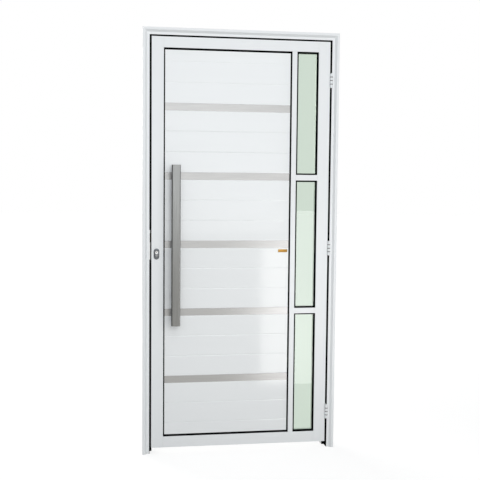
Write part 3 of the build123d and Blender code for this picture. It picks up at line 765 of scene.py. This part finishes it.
class DOOR_OT_lock(bpy.types.Operator):
    """Finish the lock and model its key plugs and edge plate screws."""

    bl_idname = "door.lock"
    bl_label = "Lock"

    def execute(self, context):
        finishes = context.scene.door_finishes
        fittings = context.scene.door_fittings
        zinc = plated_metal("zinc_plate_dull", finishes.zinc, ROUGHNESS["zinc"], cloud_size=9)
        # One nickel plate in three tones: escutcheons darkened as painted shade, a lighter cylinder in them,
        # and plugs lightened further as painted highlight over their real polish.
        dark = plated_metal("nickel_plate_painted_shade", finishes.nickel, ROUGHNESS["nickel"], cloud_size=12)
        bright = plated_metal(
            "nickel_plate_painted_highlight", finishes.bright_nickel, ROUGHNESS["bright_nickel"], cloud_size=12
        )
        dress(dark, ("lock_escutcheons",))
        dress(bright, ("lock_cylinder",))
        dress(zinc, ("lock_faceplate", "strike_plate"))
        brown = dull_polymer("nylon_moulded_brown", finishes.roller, ROUGHNESS["roller"], grain=5, shine=0.3)
        dress(brown, ("latch_roller",))
        polished = plated_metal(
            "nickel_plate_polished_painted_highlight", finishes.polished_nickel, ROUGHNESS["polished_nickel"], cloud_size=12
        )
        # Painted shade: near-black metal for the block at the foot of the keyway.
        keyway_shade_paint = plated_metal("keyway_painted_shade", finishes.keyway_shade, ROUGHNESS["keyway_shade"], cloud_size=6)
        self.key_plugs(fittings, polished, keyway_shade_paint)
        self.edge_screws(fittings, zinc)
        return {"FINISHED"}

    def key_plugs(self, fittings, polished, keyway_shade_paint):
        """Round plug with a stepped keyway, painted shade at the keyway's foot, on both ends of the cylinder.
        """
        radius = fittings.plug_radius
        proud = fittings.plug_proud
        plug = button(
            "plug",
            radius,
            proud,
            buried=0.4 * MM,
            bevel=(0.35 * MM, 2),
            rim=0.9 * MM,
            dish=0.2 * MM,
            sides=48,
        )
        step = fittings.keyway_step
        rise = fittings.keyway_rise
        halves = ((-step, rise), (step, rise - fittings.keyway_drop))
        slot = (fittings.keyway_width, fittings.keyway_length, 2 * proud)
        combine(plug, [cutter((*middle, proud), slot) for middle in halves])
        # Painted shade: a near-black block fills the keyway's foot, with a little room to each side.
        floor = (2.4 * MM, 4.2 * MM, 0.5 * MM)
        floor_level = 0.2 * MM
        keyway_shade, lower = [cutter((*middle, floor_level), floor) for middle in halves]
        combine(keyway_shade, [lower], "UNION")
        low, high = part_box("lock_cylinder")
        across = (low.x + high.x) / 2
        height = high.z - (high.x - low.x) / 2
        places = [facing((across, low.y, height), FRONT), facing((across, high.y, height), BACK)]
        set_copies(plug, "lock_key_plugs", places, "leaf", polished)
        set_copies(keyway_shade, "lock_keyway_shade", places, "leaf", keyway_shade_paint)
        bpy.data.objects.remove(plug)
        bpy.data.objects.remove(keyway_shade)

    def edge_screws(self, fittings, zinc):
        """Screws at both ends of the faceplate and of the strike plate."""
        screw = countersunk_screw(fittings)
        low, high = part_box("lock_faceplate")
        depth = (low.y + high.y) / 2
        heights = (low.z + fittings.edge_screw_inset, high.z - fittings.edge_screw_inset)
        strike_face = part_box("lock_jamb")[1].x + fittings.strike_thickness
        on_leaf = [facing((low.x, depth, height), LEFT) for height in heights]
        on_jamb = [facing((strike_face, depth, height), RIGHT) for height in heights]
        set_copies(screw, "lock_faceplate_screws", on_leaf, "leaf", zinc)
        set_copies(screw, "strike_plate_screws", on_jamb, "frame", zinc)
        bpy.data.objects.remove(screw)


class DOOR_OT_hinges(bpy.types.Operator):
    """Finish the hinges and model the screws of their plates."""

    bl_idname = "door.hinges"
    bl_label = "Hinges"

    def execute(self, context):
        finishes = context.scene.door_finishes
        fittings = context.scene.door_fittings
        tones = (finishes.coat, finishes.coat_drift)
        coat = satin_coat("hinge_powder_coat_satin_white", *tones, ROUGHNESS["hinges"], EVEN_DRIFT)
        dress(coat, HINGE_IRON)
        black = dull_polymer("nylon_moulded_black", finishes.nylon, ROUGHNESS["nylon"], grain=3, shine=0.15)
        dress(black, ("hinge_washers",))
        zinc = plated_metal("zinc_plate_screw", finishes.zinc, ROUGHNESS["screws"], cloud_size=4)
        self.plate_screws(fittings, zinc)
        return {"FINISHED"}

    def plate_screws(self, fittings, zinc):
        """Three screws in a triangle on each plate of each hinge."""
        screw = countersunk_screw(fittings)
        leaf_low, leaf_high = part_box("hinge_stile")
        leaf_face = leaf_high.x + fittings.hinge_plate
        jamb_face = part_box("hinge_jamb")[0].x - fittings.hinge_plate
        pattern = (
            (fittings.hinge_screw_front, fittings.hinge_screw_row),
            (fittings.hinge_screw_back, 0),
            (fittings.hinge_screw_front, -fittings.hinge_screw_row),
        )
        on_leaf = []
        on_jamb = []
        for hinge in HINGES:
            low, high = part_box(f"{hinge}_hinge_leaf_plate")
            middle = (low.z + high.z) / 2
            for depth, rise in pattern:
                place = (leaf_low.y + depth, middle + rise)
                on_leaf.append(facing((leaf_face, *place), RIGHT))
                on_jamb.append(facing((jamb_face, *place), LEFT))
        set_copies(screw, "hinge_screws_on_leaf", on_leaf, "leaf", zinc)
        set_copies(screw, "hinge_screws_on_jamb", on_jamb, "frame", zinc)
        bpy.data.objects.remove(screw)


class DOOR_OT_wall_screw_caps(bpy.types.Operator):
    """Model the caps over the wall screws, on the inner face of the stops."""

    bl_idname = "door.wall_screw_caps"
    bl_label = "Wall Screw Caps"

    def execute(self, context):
        finishes = context.scene.door_finishes
        fittings = context.scene.door_fittings
        cap = button(
            "cap",
            fittings.cap_radius,
            fittings.cap_proud,
            buried=0.6 * MM,
            bevel=(0.8 * MM, 3),
            rim=2.2 * MM,
            dish=0.25 * MM,
        )
        tones = (finishes.coat, finishes.coat_drift)
        # Moulded to match the coat, and a little duller.
        moulded = satin_coat("polyethylene_moulded_white", *tones, ROUGHNESS["caps"], EVEN_DRIFT)
        set_copies(cap, "wall_screw_caps", self.places(fittings), "frame", moulded)
        bpy.data.objects.remove(cap)
        return {"FINISHED"}

    def places(self, fittings):
        """Seats of the caps: a row up each side stop, and two under the head stop."""
        caps_a_side = 4
        low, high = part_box("frame_stops")
        depth = (low.y + high.y) / 2
        head_low, head_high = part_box("frame_head")
        spacing = (head_high.z - 2 * fittings.cap_inset) / (caps_a_side - 1)
        heights = [fittings.cap_inset + number * spacing for number in range(caps_a_side)]
        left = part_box("lock_jamb")[1].x + fittings.stop_stand
        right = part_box("hinge_jamb")[0].x - fittings.stop_stand
        seats = [facing((left, depth, height), RIGHT) for height in heights]
        seats += [facing((right, depth, height), LEFT) for height in heights]
        head_face = head_low.z - fittings.stop_stand
        middle = (left + right) / 2
        halves = (-fittings.cap_spacing / 2, fittings.cap_spacing / 2)
        return seats + [facing((middle + half, depth, head_face), DOWN, FRONT) for half in halves]


class DOOR_OT_bare_plate(bpy.types.Operator):
    """Model the small gold plate, left bare, at the panel's edge under the middle band."""

    bl_idname = "door.bare_plate"
    bl_label = "Bare Plate"

    def execute(self, context):
        finishes = context.scene.door_finishes
        fittings = context.scene.door_fittings
        plate = self.plate(fittings)
        # Warm gold, with streaks that are a fifth darker.
        streak = [0.8 * channel for channel in finishes.gilt[:3]] + [1.0]
        tones = (tuple(finishes.gilt), streak)
        plate.data.materials.append(
            brushed_metal("anodised_aluminium_gold", *tones, PLATE_BRUSH, ROUGHNESS["gilt"], "X")
        )
        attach(plate, "leaf")
        return {"FINISHED"}

    def plate(self, fittings):
        """Plate with round corners, a chamfered rim and a field sunk inside a border."""
        width = fittings.plate_width
        height = fittings.plate_height
        thickness = fittings.plate_thickness
        chamfer = 0.4 * MM
        lift = 0.3 * MM
        corner_steps = 5
        border = 1.2 * MM
        sink = 0.35 * MM
        board_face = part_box("boards_3")[0].y
        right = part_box("mullion")[0].x - fittings.plate_side_gap
        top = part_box("band_3")[0].z - fittings.plate_drop
        centre = Vector((right - width / 2, board_face - thickness / 2, top - height / 2))
        plate = block("bare_plate", centre, (width, thickness, height))
        edit(plate)
        pick_edges(plate, lambda start, end: abs(start.y - end.y) > thickness / 2)
        bpy.ops.mesh.bevel(offset=fittings.plate_corner, segments=corner_steps, affect="EDGES")
        pick_faces(plate, FRONT)
        bpy.ops.mesh.inset(thickness=chamfer)
        bpy.ops.transform.translate(value=(0, -lift, 0))
        bpy.ops.mesh.inset(thickness=border)
        bpy.ops.transform.translate(value=(0, sink, 0))
        close_edit()
        return plate


# Stage


def soft_light(name, place, target, sides, power, tint="#FFFFFF", hidden_from=()):
    """Rectangular soft light at a place, turned to a target and hidden from the camera and behind glass."""
    lamp = bpy.data.lights.new(name, "AREA")
    lamp.shape = "RECTANGLE"
    lamp.size, lamp.size_y = sides
    lamp.energy = power
    lamp.color = linear(tint)[:3]
    light = bpy.data.objects.new(name, lamp)
    bpy.context.collection.objects.link(light)
    light.location = place
    light.rotation_euler = (Vector(target) - Vector(place)).to_track_quat("-Z", "Y").to_euler()
    for ray in ("camera", "transmission", *hidden_from):
        setattr(light, f"visible_{ray}", False)


def seen_directly(tree):
    """Socket that is 1 for what the camera, metal or glass shows, and 0 for light on matt things."""
    path = add_node(tree, "ShaderNodeLightPath")
    mirrored = add_node(
        tree,
        "ShaderNodeMath",
        {"operation": "MAXIMUM"},
        {0: path.outputs["Is Camera Ray"], 1: path.outputs["Is Glossy Ray"]},
    )
    return add_node(
        tree,
        "ShaderNodeMath",
        {"operation": "MAXIMUM"},
        {0: mirrored.outputs[0], 1: path.outputs["Is Transmission Ray"]},
    ).outputs[0]


def white_room(studio):
    """World that lights evenly at a level and shows as white."""
    world = bpy.data.worlds.new("white_room")
    world.use_nodes = True
    world.cycles.sampling_method = "NONE"
    tree = world.node_tree
    tree.nodes.clear()
    lighting = add_node(
        tree, "ShaderNodeBackground", {"Color": studio.room_tone, "Strength": studio.room_level}
    )
    shown = add_node(tree, "ShaderNodeBackground", {"Color": linear("#FFFFFF"), "Strength": 1.0})
    mixed = add_node(
        tree,
        "ShaderNodeMixShader",
        (),
        {0: seen_directly(tree), 1: lighting.outputs[0], 2: shown.outputs[0]},
    )
    add_node(tree, "ShaderNodeOutputWorld", (), {"Surface": mixed.outputs[0]})
    bpy.context.scene.world = world


def pale_floor(studio):
    """Matt floor that shows as white where it is lit, and keeps the shadow of the door."""
    near = 1.0
    far = 5.0
    material, tree, place = new_material("studio_floor_matt_white")
    material.cycles.emission_sampling = "NONE"
    paint = add_node(tree, "ShaderNodeBsdfDiffuse", {"Color": studio.floor_tone})
    shade = add_node(tree, "ShaderNodeBsdfDiffuse", {"Color": studio.floor_shown})
    reach = add_node(tree, "ShaderNodeVectorMath", {"operation": "LENGTH"}, {0: place})
    strength = add_node(
        tree,
        "ShaderNodeMapRange",
        {"From Min": near, "From Max": far, "To Min": studio.floor_near, "To Max": studio.floor_far},
        {"Value": reach.outputs["Value"]},
    )
    path = add_node(tree, "ShaderNodeLightPath")
    tint = add_node(
        tree,
        "ShaderNodeMix",
        {"data_type": "RGBA", COLOUR_A: linear("#FFFFFF"), COLOUR_B: studio.floor_mirrored},
        {0: path.outputs["Is Reflection Ray"]},
    )
    glow = add_node(
        tree,
        "ShaderNodeEmission",
        (),
        {"Color": tint.outputs[COLOUR_OUT], "Strength": strength.outputs["Result"]},
    )
    lifted = add_node(tree, "ShaderNodeAddShader", (), {0: shade.outputs[0], 1: glow.outputs[0]})
    mixed = add_node(
        tree, "ShaderNodeMixShader", (), {0: seen_directly(tree), 1: paint.outputs[0], 2: lifted.outputs[0]}
    )
    add_node(tree, "ShaderNodeOutputMaterial", (), {"Surface": mixed.outputs[0]})
    return material


class DOOR_OT_studio(bpy.types.Operator):
    """Make the floor, the soft lights, the dark card and the camera."""

    bl_idname = "door.studio"
    bl_label = "Studio"

    def execute(self, context):
        studio = context.scene.door_studio
        white_room(studio)
        self.floor(studio)
        self.broad_lights(studio)
        self.mirrored_lights(studio)
        self.matt_lights(studio)
        self.card(studio)
        self.camera(context, studio)
        context.scene.view_settings.view_transform = "Standard"
        return {"FINISHED"}

    def floor(self, studio):
        """Wide floor with its upper face at floor level."""
        radius = 30
        thickness = 0.02
        bpy.ops.object.select_all(action="DESELECT")
        bpy.ops.mesh.primitive_circle_add(vertices=96, radius=radius, fill_type="NGON", location=(0, 0, 0))
        floor = bpy.context.active_object
        floor.name = "studio_floor"
        edit(floor)
        bpy.ops.mesh.select_all(action="SELECT")
        bpy.ops.mesh.extrude_region_move(TRANSFORM_OT_translate={"value": (0, 0, -thickness)})
        close_edit()
        floor.data.materials.append(pale_floor(studio))

    def broad_lights(self, studio):
        """Large lights in front, from the hinge side, from above and on the inner side."""
        low, high = CAD_BOX
        centre = (low + high) / 2
        soft_light(
            "front_light",
            place=(-0.95, -3.05, 1.85),
            target=(-0.95, 0, 1.7),
            sides=(2.7, 1.9),
            power=studio.front_power,
        )
        soft_light(
            "key_light",
            place=(1.9, -3.9, 2.3),
            target=centre,
            sides=(1.8, 1.8),
            power=studio.key_power,
            tint="#FFFDF8",
        )
        soft_light(
            "top_light",
            place=(-0.4, -3.0, 3.7),
            target=(-0.4, 0, 1.3),
            sides=(2.4, 1.2),
            power=studio.top_power,
        )
        soft_light(
            "back_light",
            place=(-2.2, 3.4, 2.6),
            target=centre,
            sides=(2.6, 2.6),
            power=studio.back_power,
            tint="#FFFDF8",
        )

    def mirrored_lights(self, studio):
        """Tall lights that only show as the reflections on the glass and on the boards' ends."""
        soft_light(
            "pane_light",
            place=(0.215, -1.35, 0.59),
            target=(0.215, 0, 0.59),
            sides=(0.25, 1.16),
            power=studio.pane_power,
            tint="#FFF9FF",
            hidden_from=("diffuse",),
        )
        soft_light(
            "board_light",
            place=(-0.0175, -1.35, 0.47),
            target=(-0.0175, 0, 0.47),
            sides=(0.205, 0.92),
            power=studio.board_power,
            tint="#FFFCF8",
            hidden_from=("diffuse",),
        )

    def matt_lights(self, studio):
        """Lights for the foot of the hinge side and for the whole front, which nothing mirrors."""
        soft_light(
            "low_light",
            place=(0.11, -1.35, 0.59),
            target=(0.11, 0, 0.59),
            sides=(0.46, 1.16),
            power=studio.low_power,
            tint="#FFFBF4",
            hidden_from=("glossy",),
        )
        soft_light(
            "fill_light",
            place=(-0.45, -4.2, 2.0),
            target=(-0.45, 0, 1.4),
            sides=(1.2, 1.2),
            power=studio.fill_power,
            hidden_from=("glossy",),
        )

    def card(self, studio):
        """Upright dark card at the lock's side, which only polished metal shows."""
        centre = (-2.6, -0.8, 1.2)
        sides = (0.02, 3.0, 2.4)
        bevel = 2 * MM
        card = block("lock_side_card", centre, sides)
        edit(card)
        bpy.ops.mesh.select_all(action="SELECT")
        bpy.ops.mesh.bevel(offset=bevel, segments=1, affect="EDGES")
        close_edit()
        material = bpy.data.materials.new("studio_card_matt_black")
        material.use_nodes = True
        material.node_tree.nodes.clear()
        paint = add_node(material.node_tree, "ShaderNodeBsdfDiffuse", {"Color": studio.card_tone})
        add_node(material.node_tree, "ShaderNodeOutputMaterial", (), {"Surface": paint.outputs[0]})
        card.data.materials.append(material)
        for ray in ("camera", "diffuse", "transmission", "shadow"):
            setattr(card, f"visible_{ray}", False)

    def camera(self, context, studio):
        """Camera at the photograph's place, direction and lean."""
        sensor_width = 36
        yaw, pitch, roll = studio.camera_yaw, studio.camera_pitch, studio.camera_roll
        ahead = Vector((sin(yaw) * cos(pitch), cos(yaw) * cos(pitch), sin(pitch)))
        across = Vector((cos(yaw), -sin(yaw), 0))
        above = across.cross(ahead)
        right = cos(roll) * across + sin(roll) * above
        up = cos(roll) * above - sin(roll) * across
        lens = bpy.data.cameras.new("camera")
        lens.lens = studio.lens
        lens.sensor_width = sensor_width
        camera = bpy.data.objects.new("camera", lens)
        context.collection.objects.link(camera)
        axes = Matrix((right, up, -ahead)).transposed()
        camera.matrix_world = Matrix.Translation(studio.camera_place) @ axes.to_4x4()
        context.scene.camera = camera


# Add-on


class DOOR_PT_pieces(bpy.types.Panel):
    """Lists the door's pieces and their settings."""

    bl_idname = "DOOR_PT_pieces"
    bl_label = "Entrance Door"
    bl_space_type = "VIEW_3D"
    bl_region_type = "UI"
    bl_category = "Door"

    def draw(self, context):
        for operator in OPERATORS:
            self.layout.operator(operator.bl_idname)
        for name, group in GROUPS.items():
            box = self.layout.box()
            settings = getattr(context.scene, name)
            for setting in group.__annotations__:
                box.prop(settings, setting)


GROUPS = {"door_finishes": DoorFinishes, "door_fittings": DoorFittings, "door_studio": DoorStudio}
OPERATORS = (
    DOOR_OT_frame_profiles,
    DOOR_OT_leaf_profiles,
    DOOR_OT_panel_boards,
    DOOR_OT_panel_bands,
    DOOR_OT_glass_panes,
    DOOR_OT_rubber_seals,
    DOOR_OT_pull_bar,
    DOOR_OT_lock,
    DOOR_OT_hinges,
    DOOR_OT_wall_screw_caps,
    DOOR_OT_bare_plate,
    DOOR_OT_studio,
)
CLASSES = (*GROUPS.values(), *OPERATORS, DOOR_PT_pieces)


def register():
    """Registers the classes and gives the scene its settings."""
    for made in CLASSES:
        bpy.utils.register_class(made)
    for name, group in GROUPS.items():
        setattr(bpy.types.Scene, name, bpy.props.PointerProperty(type=group))


def unregister():
    """Takes the settings and the classes away."""
    for name in GROUPS:
        delattr(bpy.types.Scene, name)
    for made in reversed(CLASSES):
        bpy.utils.unregister_class(made)


def main():
    """Makes every piece and the stage."""
    register()
    for operator in OPERATORS:
        group, name = operator.bl_idname.split(".")
        getattr(getattr(bpy.ops, group), name)()


if __name__ == "__main__":
    main()
